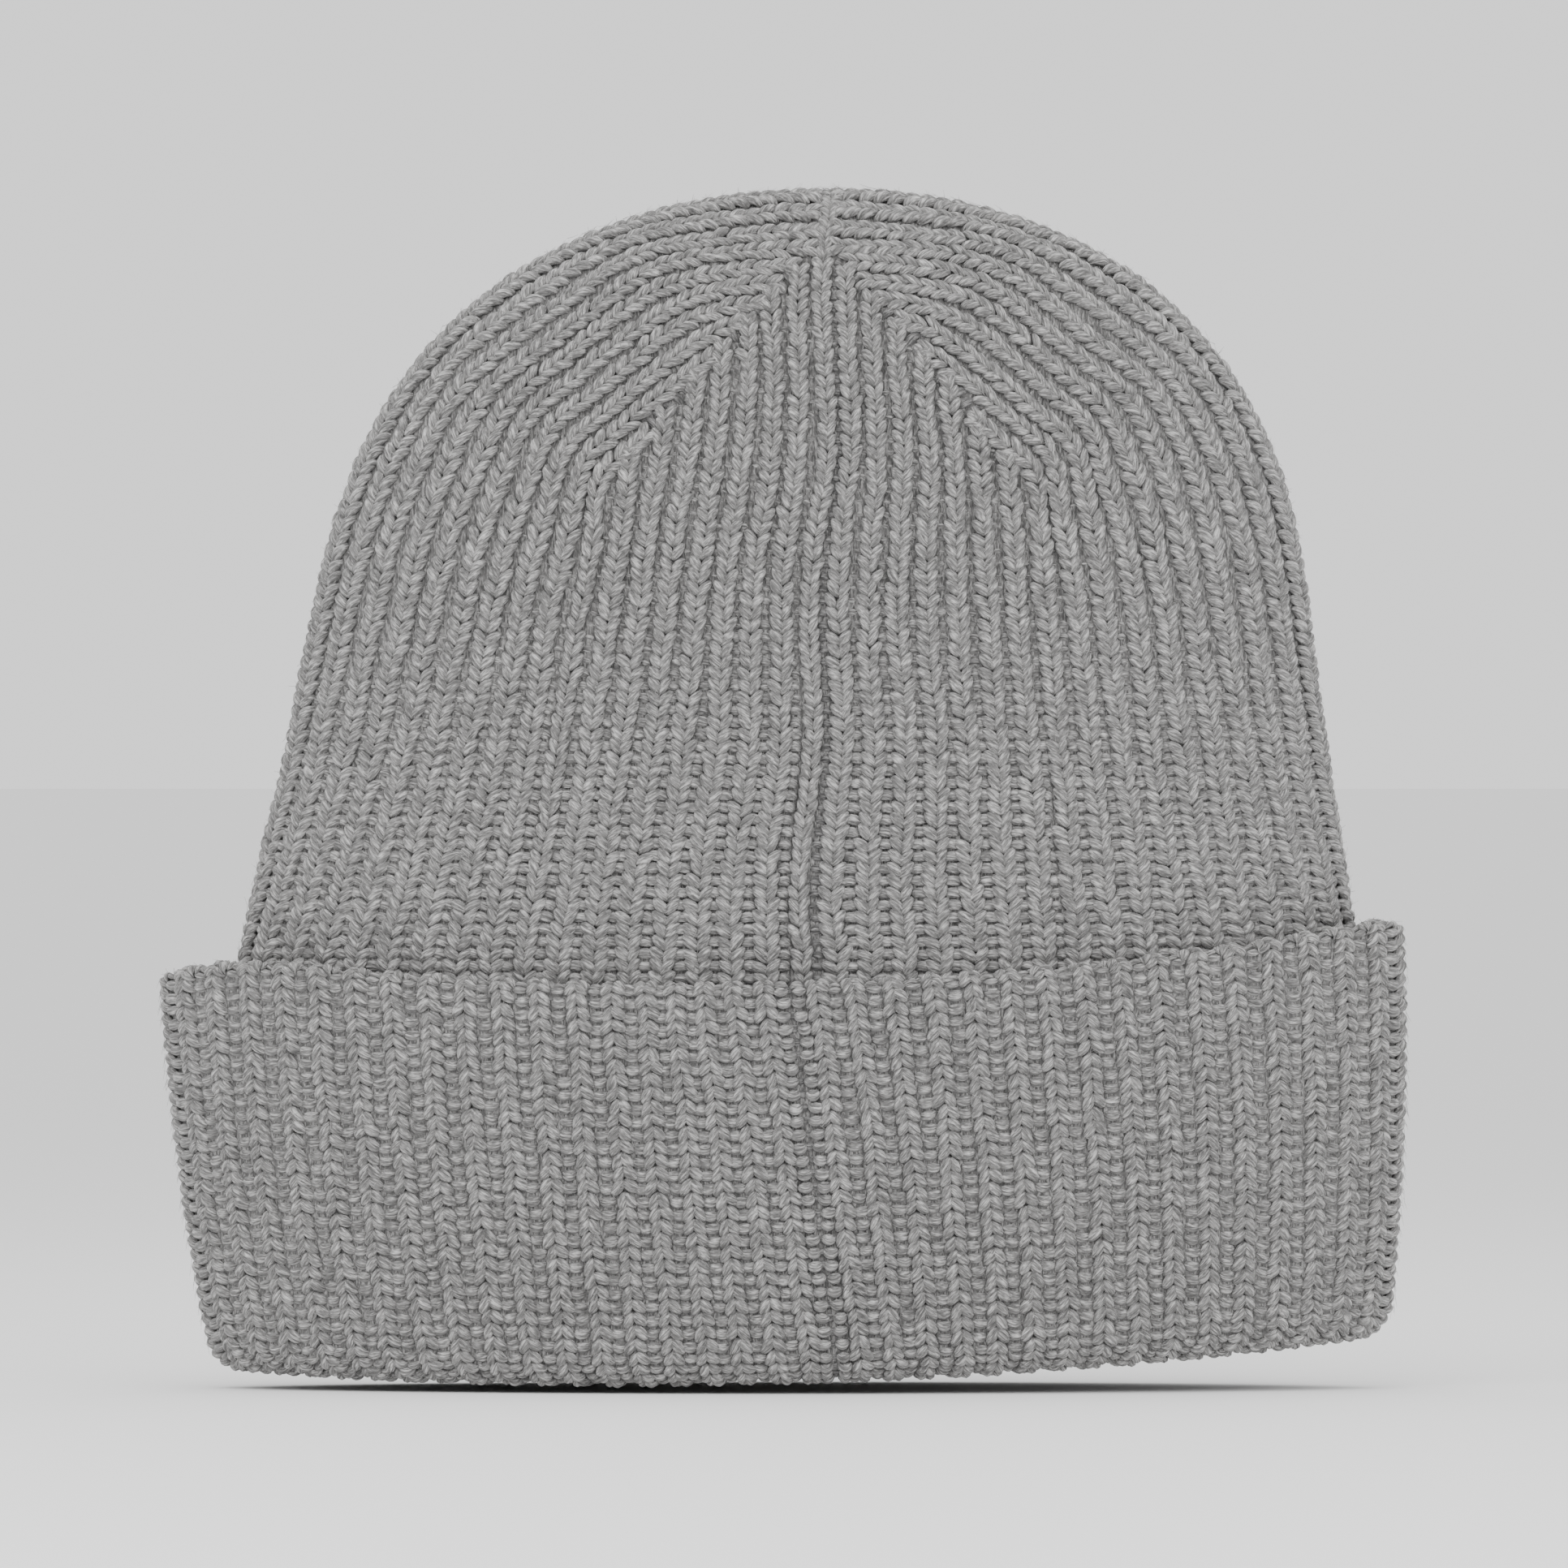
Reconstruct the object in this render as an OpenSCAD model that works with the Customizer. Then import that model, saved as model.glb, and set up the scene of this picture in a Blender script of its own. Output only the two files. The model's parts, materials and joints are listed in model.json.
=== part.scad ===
// Ribbed knit beanie with a turned-up cuff, standing upright with its head opening down.
// X runs across the hat, -Y is the face with the back seam, Z is up.
// Every fabric piece is one layer of rib knit between an outer and an inner face.

/* [Body] */
// Height from the fold of the cuff to the top of the crown
hat_h = 215; // [205:1:230]
// Width of the body where it leaves the cuff
body_w = 203; // [190:1:206]
// Depth of the body where it leaves the cuff
body_d = 60; // [48:1:70]
// Thickness of the rib knit
knit_t = 4.5; // [3.5:0.5:5]
// Height at which the body begins to round over
dome_start = 140; // [130:1:150]
// How much each side leans in per mm of height
side_taper = 0.17; // [0.1:0.01:0.2]
// How far the crown leans to the right per mm of height
crown_lean = 0.035; // [0:0.005:0.05]

/* [Crown] */
// Height of the lower ends of the shaping darts
dart_base = 165; // [160:1:172]
// Distance of a dart's lower end from the middle of its face
dart_reach = 36; // [28:1:40]
// Height at which the two darts of a face meet
apex_h = 204; // [200:1:206]

/* [Cuff] */
// Height of the cuff
cuff_h = 71.5; // [60:0.5:75]
// Width of the cuff at its fold
fold_w = 212; // [210:1:220]
// Growth in the cuff's width from the fold to the free edge
cuff_flare_w = 12.8; // [6:0.2:16]
// Growth in the cuff's depth from the fold to the free edge
cuff_flare_d = 3; // [0:0.5:6]
// Slack between the cuff and the layer behind it at the fold
fold_gap = 1; // [0.8:0.1:2]

/* [Seams] */
// Thickness of the yarn in the back seam
seam_yarn_d = 2.6; // [2:0.1:3]
// Thickness of the yarn in the crown darts
dart_yarn_d = 2; // [1.6:0.1:2.6]
// Distance between two knit edges that a seam joins
seam_gap = 1.4; // [1:0.1:1.6]

/* [Hidden] */

// Softness of the section: 1 is an ellipse, 2 a lens with sharp side edges
section_power = 1.15;
// Powers of the dome's curve over the crown
dome_in = 2.7;
dome_out = 1 / 2.2;
// Depth that the body loses per mm of height
depth_taper = 0.06;
// Power of a dart's curve towards the apex
dart_power = 0.85;
// Columns of the mesh round the hat, and columns across one gore
ring_columns = 60;
gore_columns = 10;
// Height of the body's lowest knit row above the fold
fold_h = 8;
// Gap between the fold and the brim layer it lies against
fold_clearance = 0.5;
// Height of the cuff's rim, which is its cast-on edge
rim_h = 4;
// Angles of the points round the top of the rim
rim_arc = [0, 45, 85];
// Sideways bow and tilt of the cuff's two edges
fold_bow = 0.00042;
rim_bow = 0.00071;
cuff_tilt = 0.028;
// Middle of the cuff at the fold, and its drift per mm of height
cuff_mid = 0.7;
cuff_drift = -0.048;
// Back seam on the body: place at the cuff, and drift per mm of height
seam_x = 4.1;
seam_drift = 0.012;
// Back seam on the cuff: place at the fold, and drift per mm of height
cuff_seam_x = 7.5;
cuff_seam_drift = -0.124;
// Sides of a yarn's section
yarn_sides = 8;
// Width of the last ring of knit under the crown's top stitch
crown_top = 0.4;

wool = "#929090";
wool_dark = "#7c7a7a";

// ---------- the hat's surface ----------

function middle(z) = 0.2 + crown_lean * max(0, z - cuff_h);
function dome(z, inset) =
    let (t = max(0, z - dome_start) / (hat_h - dome_start - inset))
    pow(max(0, 1 - pow(t, dome_in)), dome_out);
function half_w(z, inset) =
    (body_w / 2 - side_taper * max(0, z - cuff_h) - inset) * dome(z, inset) + crown_top;
function half_d(z, inset) =
    (body_d / 2 - depth_taper * max(0, z - cuff_h) - inset) * dome(z, inset) + crown_top;

// A section's point: turn 0 is the back seam's face, 90 is the right side
function section_y(turn, half) = -half * sign(cos(turn)) * pow(abs(cos(turn)), section_power);
function hat_point(turn, z, inset) =
    [middle(z) + half_w(z, inset) * sin(turn), section_y(turn, half_d(z, inset)), z];

// ---------- the cuff's surface ----------

function cuff_swell(z) = pow(sin(90 * min(1, max(0, z) / cuff_h)), 0.8);
function cuff_half_w(z) = fold_w / 2 + cuff_flare_w / 2 * cuff_swell(z);
function cuff_half_d(z) = body_d / 2 + knit_t + fold_gap + cuff_flare_d / 2 * cuff_swell(z);
function bow(z) = fold_bow + (rim_bow - fold_bow) * z / cuff_h;
function rise(x, z) = bow(z) * x * x + cuff_tilt * x;
function cuff_point(turn, z, inset) =
    let (x = cuff_mid + cuff_drift * z + (cuff_half_w(z) - inset) * sin(turn))
    [x, section_y(turn, cuff_half_d(z) - inset), z + rise(x, z)];

// ---------- lists of columns and rows ----------

function spread(low, high, count) = [for (i = [0:count]) low + (high - low) * i / count];
function rows_to_top(low, high, count) =
    [for (i = [0:count]) high - (high - low) * pow(1 - i / count, 1.6)];

// Turn of the point x on the seam's face, at the hat's outer face
function turn_at(x, z) = asin(max(-1, min(1, (x - middle(z)) / half_w(z, 0))));
function seam_turn(z) = turn_at(min(seam_x + seam_drift * (z - cuff_h), middle(z) + 4), z);
function gap_turn(z) = asin(min(1, seam_gap / 2 / half_w(z, 0)));

// Half the width of the seam face's gore, which is nothing above the apex
function dart_half(z) =
    dart_reach * pow(max(0, 1 - (z - dart_base) / (apex_h - dart_base)), dart_power);
function dart_turn(z) = asin(min(1, dart_half(z) / half_w(z, 0)));

// ---------- solids ----------

// One layer of knit between two grids of points, rows first
module knit_layer(outer, inner) {
    rows = len(outer);
    cols = len(outer[0]);
    all_points = [for (face = [outer, inner]) for (row = face) for (p = row) p];
    function at(face, r, c) = (face * rows + r) * cols + c;
    function two(a, b, c, d) = [[a, b, c], [a, c, d]];
    faces = [
        for (r = [0:rows - 2]) for (c = [0:cols - 2])
            each two(at(0, r, c), at(0, r + 1, c), at(0, r + 1, c + 1), at(0, r, c + 1)),
        for (r = [0:rows - 2]) for (c = [0:cols - 2])
            each two(at(1, r, c), at(1, r, c + 1), at(1, r + 1, c + 1), at(1, r + 1, c)),
        for (c = [0:cols - 2])
            each two(at(0, 0, c), at(0, 0, c + 1), at(1, 0, c + 1), at(1, 0, c)),
        for (c = [0:cols - 2])
            each two(at(0, rows - 1, c), at(1, rows - 1, c), at(1, rows - 1, c + 1),
                     at(0, rows - 1, c + 1)),
        for (r = [0:rows - 2])
            each two(at(0, r, 0), at(1, r, 0), at(1, r + 1, 0), at(0, r + 1, 0)),
        for (r = [0:rows - 2])
            each two(at(0, r, cols - 1), at(0, r + 1, cols - 1), at(1, r + 1, cols - 1),
                     at(1, r, cols - 1))
    ];
    polyhedron(points = all_points, faces = faces, convexity = 8);
}

// A patch of the hat between two turns that change with the height
module hat_patch(heights, from_turn, to_turn, columns) {
    function grid(inset) = [
        for (z = heights) [
            for (s = spread(0, 1, columns))
                hat_point(from_turn(z) + (to_turn(z) - from_turn(z)) * s,
                          z - inset * max(0, z - dome_start) / (hat_h - dome_start), inset)
        ]
    ];
    knit_layer(grid(0), grid(knit_t));
}

// Yarn swept along a path; side is a direction that the path never takes
module yarn(path, d, side) {
    last = len(path) - 1;
    function along(i) = path[min(last, i + 1)] - path[max(0, i - 1)];
    function unit(v) = v / norm(v);
    function ring(i) =
        let (across = unit(cross(along(i), side)), out = unit(cross(across, along(i))))
        [for (k = [0:yarn_sides - 1])
            path[i] + d / 2 * (across * cos(360 * k / yarn_sides)
                               + out * sin(360 * k / yarn_sides))];
    rings = [for (i = [0:last]) each ring(i)];
    faces = [
        [for (k = [0:yarn_sides - 1]) k],
        for (i = [0:last - 1]) for (k = [0:yarn_sides - 1])
            let (a = i * yarn_sides + k, b = i * yarn_sides + (k + 1) % yarn_sides)
            each [[a, a + yarn_sides, b + yarn_sides], [a, b + yarn_sides, b]],
        [for (k = [yarn_sides - 1:-1:0]) last * yarn_sides + k]
    ];
    polyhedron(points = rings, faces = faces, convexity = 4);
}

// ---------- the hat ----------

module body_wall() {
    color(wool)
        hat_patch(concat(spread(cuff_h, dome_start, 3), [dome_start + 10, dome_start + 18, dart_base]),
                  function(z) seam_turn(z) + gap_turn(z),
                  function(z) seam_turn(z) - gap_turn(z) + 360, ring_columns);
}

module brim_inner_layer() {
    brim_foot = fold_h + fold_clearance;
    function brim_point(turn, s, inset) =
        let (x = hat_point(turn, cuff_h, inset)[0], foot = brim_foot + rise(x, fold_h))
        [x, hat_point(turn, cuff_h, inset)[1], foot + (cuff_h - foot) * s];
    function grid(inset) = [
        for (s = spread(0, 1, 3)) [
            for (turn = spread(seam_turn(cuff_h) + gap_turn(cuff_h),
                               seam_turn(cuff_h) - gap_turn(cuff_h) + 360, ring_columns))
                brim_point(turn, s, inset)
        ]
    ];
    color(wool) knit_layer(grid(0), grid(knit_t));
}

gore_rows = spread(dart_base, apex_h - 3, 7);
side_gore_rows = concat(gore_rows, rows_to_top(apex_h, hat_h, 5));

module back_gore_left() {
    color(wool)
        hat_patch(gore_rows, function(z) -dart_turn(z) + gap_turn(z),
                  function(z) min(seam_turn(z), dart_turn(z) / 4) - gap_turn(z), gore_columns / 2);
}

module back_gore_right() {
    color(wool)
        hat_patch(gore_rows, function(z) min(seam_turn(z), dart_turn(z) / 4) + gap_turn(z),
                  function(z) dart_turn(z) - gap_turn(z), gore_columns / 2);
}

module front_gore() {
    color(wool)
        hat_patch(gore_rows, function(z) 180 - dart_turn(z) + gap_turn(z),
                  function(z) 180 + dart_turn(z) - gap_turn(z), gore_columns);
}

module right_gore() {
    color(wool)
        hat_patch(side_gore_rows, function(z) dart_turn(z) + gap_turn(z),
                  function(z) 180 - dart_turn(z) - gap_turn(z), 2 * gore_columns);
}

module left_gore() {
    color(wool)
        hat_patch(side_gore_rows, function(z) 180 + dart_turn(z) + gap_turn(z),
                  function(z) 360 - dart_turn(z) - gap_turn(z), 2 * gore_columns);
}

// ---------- the hat's seams ----------

module back_seam() {
    function seam_point(z) = hat_point(z < dart_base ? seam_turn(z)
                                       : min(seam_turn(z), dart_turn(z) / 4), z, knit_t / 2);
    color(wool_dark)
        yarn([for (z = spread(fold_h + 4, apex_h - 5, 16)) seam_point(z)],
             seam_yarn_d, [1, 0, 0]);
}

// A dart's yarn on the seam's face, face = 0, or the opposite face, face = 180
module dart_seam(face, hand) {
    color(wool_dark)
        yarn([for (z = spread(dart_base + 1, apex_h - 4, 8))
                  hat_point(face + hand * dart_turn(z), z, knit_t / 2)],
             dart_yarn_d, [0, 1, 0]);
}

module back_dart_seam_left() { dart_seam(0, -1); }
module back_dart_seam_right() { dart_seam(0, 1); }
module front_dart_seam_left() { dart_seam(180, 1); }
module front_dart_seam_right() { dart_seam(180, -1); }

module crown_seam() {
    up_back = [for (z = rows_to_top(apex_h - 1, hat_h - knit_t / 2, 6)) hat_point(0, z, knit_t / 2)];
    down_front = [for (i = [5:-1:0]) let (p = up_back[i]) [p[0], -p[1], p[2]]];
    color(wool_dark)
        yarn(concat(up_back, down_front), dart_yarn_d, [1, 0, 0]);
}

module crown_knot() {
    color(wool_dark)
        translate([middle(hat_h), 0, hat_h - knit_t - 1.2])
            rotate_extrude()
                translate([1.6, 0]) circle(d = 3.2);
}

// ---------- the cuff ----------

// Turns of the cuff's columns at a height, open at its seam
function cuff_turns(z) =
    let (turn = asin((cuff_seam_x + cuff_seam_drift * z - cuff_mid - cuff_drift * z)
                     / cuff_half_w(z)),
         gap = asin(seam_gap / 2 / cuff_half_w(z)))
    spread(turn + gap, turn - gap + 360, ring_columns);
function cuff_row(z, inset) = [for (turn = cuff_turns(max(0, z))) cuff_point(turn, z, inset)];

module cuff_band() {
    heights = spread(fold_h, cuff_h - rim_h, 4);
    color(wool)
        knit_layer([for (z = heights) cuff_row(z, 0)], [for (z = heights) cuff_row(z, knit_t)]);
}

// The U turn at the bottom: down the cuff, round, and up to the layer behind
module cuff_fold() {
    outer_r = knit_t + fold_gap / 2;
    inner_r = fold_gap / 2;
    arc = spread(0, 180, 6);
    function bend(r) = [for (a = arc) cuff_row(outer_r - r * sin(a), outer_r - r * cos(a))];
    color(wool)
        knit_layer(concat(reverse(bend(outer_r)), [cuff_row(fold_h, 0)]),
                   concat(reverse(bend(inner_r)), [cuff_row(fold_h, knit_t)]));
}

module cuff_rim() {
    half = knit_t / 2;
    foot = cuff_h - rim_h;
    function face(side) = concat(
        [cuff_row(foot, half + side * half)],
        [for (a = rim_arc) cuff_row(cuff_h - half + half * sin(a), half + side * half * cos(a))]);
    color(wool) knit_layer(face(-1), face(1));
}

module cuff_seam() {
    color(wool_dark)
        yarn([for (z = spread(fold_h - 3, cuff_h - 1.5, 8))
                  let (x = cuff_seam_x + cuff_seam_drift * z,
                       turn = asin((x - cuff_mid - cuff_drift * z) / cuff_half_w(z)))
                  cuff_point(turn, z, knit_t / 2)],
             seam_yarn_d, [1, 0, 0]);
}

function reverse(list) = [for (i = [len(list) - 1:-1:0]) list[i]];

body_wall();
brim_inner_layer();
back_gore_left();
back_gore_right();
front_gore();
left_gore();
right_gore();
back_seam();
back_dart_seam_left();
back_dart_seam_right();
front_dart_seam_left();
front_dart_seam_right();
crown_seam();
crown_knot();
cuff_band();
cuff_fold();
cuff_rim();
cuff_seam();
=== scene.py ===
"""Knit beanie: yarn-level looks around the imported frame. Lengths are in mm until a mesh is made."""
import json
import math

import bpy
import numpy as np
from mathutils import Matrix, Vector


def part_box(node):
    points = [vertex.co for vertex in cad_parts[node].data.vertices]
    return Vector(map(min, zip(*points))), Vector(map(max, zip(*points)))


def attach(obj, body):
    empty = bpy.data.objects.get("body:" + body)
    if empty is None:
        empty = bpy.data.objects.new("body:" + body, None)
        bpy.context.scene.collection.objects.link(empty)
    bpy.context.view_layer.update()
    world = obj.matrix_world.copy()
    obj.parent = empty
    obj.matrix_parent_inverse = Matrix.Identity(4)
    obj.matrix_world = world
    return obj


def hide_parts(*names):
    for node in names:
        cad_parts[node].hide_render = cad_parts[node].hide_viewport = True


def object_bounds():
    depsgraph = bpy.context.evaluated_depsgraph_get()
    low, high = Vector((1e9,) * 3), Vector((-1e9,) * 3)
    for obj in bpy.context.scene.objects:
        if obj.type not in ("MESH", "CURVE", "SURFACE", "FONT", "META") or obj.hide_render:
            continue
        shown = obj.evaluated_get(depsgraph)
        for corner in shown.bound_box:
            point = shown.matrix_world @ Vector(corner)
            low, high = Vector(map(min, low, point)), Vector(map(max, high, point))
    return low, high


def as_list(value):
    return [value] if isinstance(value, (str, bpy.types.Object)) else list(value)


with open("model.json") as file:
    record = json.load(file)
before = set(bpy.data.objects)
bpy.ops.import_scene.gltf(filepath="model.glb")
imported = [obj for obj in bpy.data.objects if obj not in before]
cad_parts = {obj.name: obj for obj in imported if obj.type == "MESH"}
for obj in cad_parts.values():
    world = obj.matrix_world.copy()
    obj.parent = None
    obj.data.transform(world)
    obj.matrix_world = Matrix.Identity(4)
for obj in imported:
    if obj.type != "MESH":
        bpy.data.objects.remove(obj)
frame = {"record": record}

cad_low, cad_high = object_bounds()
MM = 0.001
rng = np.random.default_rng(11)


def low(node):
    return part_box(node)[0] / MM


def high(node):
    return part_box(node)[1] / MM


# ---------- sizes of the hat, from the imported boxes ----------

HAT_H = high("left_gore")[2]
CUFF_H = low("body_wall")[2]
DART_BASE = low("front_gore")[2]
APEX_H = high("front_gore")[2] + 3     # where the darts of a face meet
KNIT_T = 4.5                 # thickness of the knit
TIP = 0.4                    # half the width and depth that are left where the dome closes
BODY_HALF_W = (high("body_wall")[0] - low("body_wall")[0]) / 2 - TIP
BODY_HALF_D = (high("body_wall")[1] - low("body_wall")[1]) / 2 - TIP

# ---------- the rest of the surface's shape, as the frame was drawn ----------

DOME_START = 140.0
DOME_IN = 2.7                # powers that round the dome
DOME_OUT = 1 / 2.2
SIDE_TAPER = 0.17            # mm that a side edge and a face lean in, per mm of height
DEPTH_TAPER = 0.06
BODY_MID = 0.2               # middle of the body's foot, and mm that it moves right per mm of height
CROWN_LEAN = 0.035
SECTION_POWER = 1.15         # power of the cosine that gives a section its depth
DART_REACH = 36.0            # half the width of the middle gores at the darts' foot
DART_POWER = 0.85
FOLD_GAP = 1.0               # gap between the cuff and the layer behind it
FOLD_W = 212.0               # width of the cuff at its fold
CUFF_FLARE_W = 12.8          # how much wider and deeper the cuff is at its rim
CUFF_FLARE_D = 3.0
FOLD_H = 8.0                 # heights of the fold and of the rim
RIM_H = 4.0
FOLD_BOW = 0.00042           # how fast the fold and the rim rise towards the sides, per mm squared
RIM_BOW = 0.00071
CUFF_TILT = 0.028            # mm that the cuff rises to the right, per mm
CUFF_MID = 0.7               # middle of the cuff's foot, and mm that it moves right per mm of height
CUFF_DRIFT = -0.048

# ---------- the cuff's soft edge, beyond the frame's shape ----------

RIM_LIFT = 1.1               # how far the rim stands above the frame's
CORNER_DROOP = 3.8           # how far the rim's left corner droops
DROOP_FROM = 85.0            # distances left of the middle where the droop starts and where it is full
WIDEST = 112.0
CORNER_W = 6.0               # size of the rounded corners where the rim meets the cuff's side edges
CORNER_H = 1.6
CORNER_REACH = 25.0          # how far below the rim the corners start to round

# ---------- sizes of the knit ----------

RIBS = 70                    # knit ribs round the hat, with as many purl ribs between them
FACE = RIBS / 4              # ribs from the middle of a face to its side edge
KNIT_PHASE = 0.08            # place of the first knit rib beside the middle
SEAM_RIB = KNIT_PHASE + 0.5  # the back seam runs where a purl rib would be
GORE_RIBS = 7.5              # ribs from the middle of a face to its darts
STRETCH = 0.75               # how much of the hat's depth shows in the ribs' even spacing. Ribs at the
                             # side edges stretch to cover the rest.
PITCH_Z = 80.0               # rib width in the middle of a face: at this height, how much it narrows per
PITCH_AT_Z = 6.2             # mm above it, and its least and most
PITCH_FALL = 0.0165
PITCH_LEAST = 4.5
PITCH_MOST = 6.25
TOP_PITCH = 3.05             # rib width where the ribs run level below the crown's top
PLAIN_PITCH = 5.75           # rib width that stitches are drawn for
CUFF_PITCH = 6.75
ROW_H = 2.2
GORE_ROW_H = 1.03 * ROW_H
CROWN_ROW_H = 2.75           # rows are taller where the ribs turn over the crown
CUFF_ROW_H = 2.38
BRIM_ROWS = 29               # rows behind the cuff, and from the rim to where the dome has begun
WALL_ROWS = 35
LEVEL_ROWS_TO = DOME_START + 8

TILT_FROM = 100.0            # height from which lines across the side fabric turn square to the outline
EVEN_FROM = 110.0            # height from which ribs share those lines evenly
TURN_BELOW = 14.0            # ribs turn level over the crown from this far below the line that meets the
TURN_ABOVE = 6.0             # darts' foot to this far above it
TURN_RIBS = 3.0              # ribs beside the outline over which that turn grows
TURN_SHARPNESS = 1.3
LEVEL_SLOPE = 0.06           # how much the level ribs slope all the same
GORE_OVERLAP = 0.8           # how far wales of the middle gores and of the sides run on past a dart
SIDE_OVERLAP = 0.6

SEAM_OPEN = -0.12            # how far the back seam holds the ribs beside it apart, or draws them in
PURL_LOW_OUT = 0.5           # purl stitches stand out of their recess near the cuff, where the ribs are
PURL_HIGH_IN = 0.55          # stretched, and sink into it towards the crown, where the ribs close up
PURL_SINKS = (95, 150)       # heights between which they sink
PURL_RISE = 0.1              # how far purl stitches lie above the knit stitches of their row
HIDDEN_BELOW = 8.0           # plainer stitches do this far below the cuff's rim, where none is seen
BODY_WANDER = 0.16           # sideways drift of wales
CUFF_WANDER = 0.13

CUFF_SEAM_RIB = 1.05
CUFF_SEAM_SIDES = 0.25       # ribs from the cuff's seam to the columns beside it
CUFF_SEAM_PUSH = 0.2         # ribs that the seam pushes its neighbours away, fading over a few of them
CUFF_SEAM_FADE = 3.0
CUFF_SKEW = -0.0122          # ribs that the cuff's wales drift per mm of height, at most
CUFF_SEED = 500              # seeds of the drift of the cuff's wales, and of the columns at its seam
CUFF_SEAM_SEED = 900
EDGE_LIFT = 0.7              # how far purl stitches at the cuff's side edges stand out of their recess,
EDGE_WIDER = 0.35            # how much wider they are, and over how many ribs
EDGE_RIBS = 0.9

FIBRE_R = 0.035              # half the thickness of a loose fibre
FUZZ_SHARE = 0.8             # share of the stitches that a kind of loose fibre lies over
KNOT_R = 0.8                 # half the thickness of the knotted yarn inside the crown
KNOT_RINGS = 240
LOOSENESS = (0.05, math.radians(4), 0.12, 0.07, 0.04)   # spread of stitches' size, turn, place across
                                                        # and out, and height
DEEPEST_BEND = 1.6           # how far a stitch may bend round the cuff's side edge

CLOTH_DEPTHS = (2.1, 3.4)    # how deep the two faces of the body's and of the cuff's plain cloth lie
CUFF_CLOTH_DEPTHS = (1.8, KNIT_T - 0.4)
CLOTH_FOOT = FOLD_H + 1.2
# share of the wool's colour that the cloth behind the stitches keeps: painted shade for the gaps between
# stitches
CLOTH_PAINTED_SHADE = 0.8


# ---------- the hat's surface ----------

def middle(z):
    return BODY_MID + CROWN_LEAN * np.maximum(0, z - CUFF_H)


def dome(z, inset=0.0):
    t = np.clip((z - DOME_START) / (HAT_H - DOME_START - inset), 0, 1)
    return (1 - t ** DOME_IN) ** DOME_OUT


def half_w(z, inset=0.0):
    return (BODY_HALF_W - SIDE_TAPER * np.maximum(0, z - CUFF_H) - inset) * dome(z, inset) + TIP


def half_d(z, inset=0.0):
    return (BODY_HALF_D - DEPTH_TAPER * np.maximum(0, z - CUFF_H) - inset) * dome(z, inset) + TIP


def section_depth(turn):
    """Depth of a section at its turns, as a share. A turn of 0 is the middle of the front face."""
    return np.sign(np.cos(turn)) * np.abs(np.cos(turn)) ** SECTION_POWER


def depth_at(x, z):
    """How far the hat's face stands from the middle plane at x and z."""
    across = np.clip((x - middle(z)) / half_w(z), -1, 1)
    return half_d(z) * (1 - across ** 2) ** (SECTION_POWER / 2)


def hat_normal(x, y, z):
    """Outward normals of the hat's surface, from the gradient of its section's equation."""
    w, d = half_w(z), half_d(z)
    step = 0.02
    u, v = np.clip((x - middle(z)) / w, -1, 1), np.clip(y / d, -1, 1)
    power = 2 / SECTION_POWER
    grow_w = (half_w(z + step) - half_w(z - step)) / (2 * step * w)
    grow_d = (half_d(z + step) - half_d(z - step)) / (2 * step * d)
    lean = (middle(z + step) - middle(z - step)) / (2 * step)
    normal = np.stack([
        2 * u / w,
        power * np.abs(v) ** (power - 1) * np.sign(v) / d,
        -2 * u * (lean / w + u * grow_w) - power * np.abs(v) ** power * grow_d,
    ], axis=-1)
    return unit(normal)


def unit(v):
    return v / np.maximum(np.linalg.norm(v, axis=-1, keepdims=True), 1e-9)


def dart_half(z):
    """Half the width of the middle gores at height z."""
    share = np.clip(1 - (z - DART_BASE) / (APEX_H - DART_BASE), 0, 1)
    return DART_REACH * share ** DART_POWER


def smooth(a, b, x):
    t = np.clip((x - a) / (b - a), 0, 1)
    return t * t * (3 - 2 * t)


# ---------- wales: the lines that ribs follow over the hat ----------

def around(rib):
    """A rib's number, counted the shorter way round from the middle of the seam's face."""
    return (rib + 2 * FACE) % (4 * FACE) - 2 * FACE


def from_middle(rib):
    """How many ribs lie between a rib and the middle of the face that it is on."""
    return np.minimum(np.abs(around(rib)), 2 * FACE - np.abs(around(rib)))


def rib_pitch(z):
    """Width of a rib in the middle of a face."""
    return np.clip(PITCH_AT_Z - PITCH_FALL * (z - PITCH_Z), PITCH_LEAST, PITCH_MOST)


def spread(ribs, length, pitch):
    """How far ribs lie from the middle of a face, along the fabric. They keep their pitch in the middle,
    and ribs near the side edge take up what is left of the length."""
    return pitch * ribs + max(0.0, length - FACE * pitch) * (ribs / FACE) ** 3


def section_arc(z):
    """Turns of a section and how far each lies from the middle of its face, as ribs share it out."""
    turn = np.linspace(0, math.pi / 2, 241)
    x, y = half_w(z) * np.sin(turn), half_d(z) * section_depth(turn)
    return turn, along_line(np.column_stack([x, STRETCH * y]))


def levels_up(foot, wall_count, dome_count, crowding):
    """Heights from foot to the crown's top, with a count for the wall and one for the dome, where they
    crowd upwards."""
    wall = np.linspace(foot, DOME_START, wall_count, endpoint=False)
    down = (HAT_H - DOME_START) * np.linspace(1, 0.0005, dome_count) ** crowding
    return np.concatenate([wall, HAT_H - down])


LEVELS = levels_up(FOLD_H, 130, 260, 1.7)     # heights at which wales are laid out


def lay_on_sections(ribs):
    """x of each rib at each level, counted from the section's middle."""
    out = np.zeros((len(LEVELS), len(ribs)))
    for k, z in enumerate(LEVELS):
        turn, arc = section_arc(z)
        out[k] = half_w(z) * np.sin(np.interp(spread(ribs, arc[-1], rib_pitch(z)), arc, turn))
    return out


def outline():
    """Points of the right side's outline at each level, and the directions straight in from it."""
    edge = np.stack([half_w(LEVELS), LEVELS], axis=1)
    along = unit(np.gradient(edge, axis=0))
    return edge, np.stack([-along[:, 1], along[:, 0]], axis=1)


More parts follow.
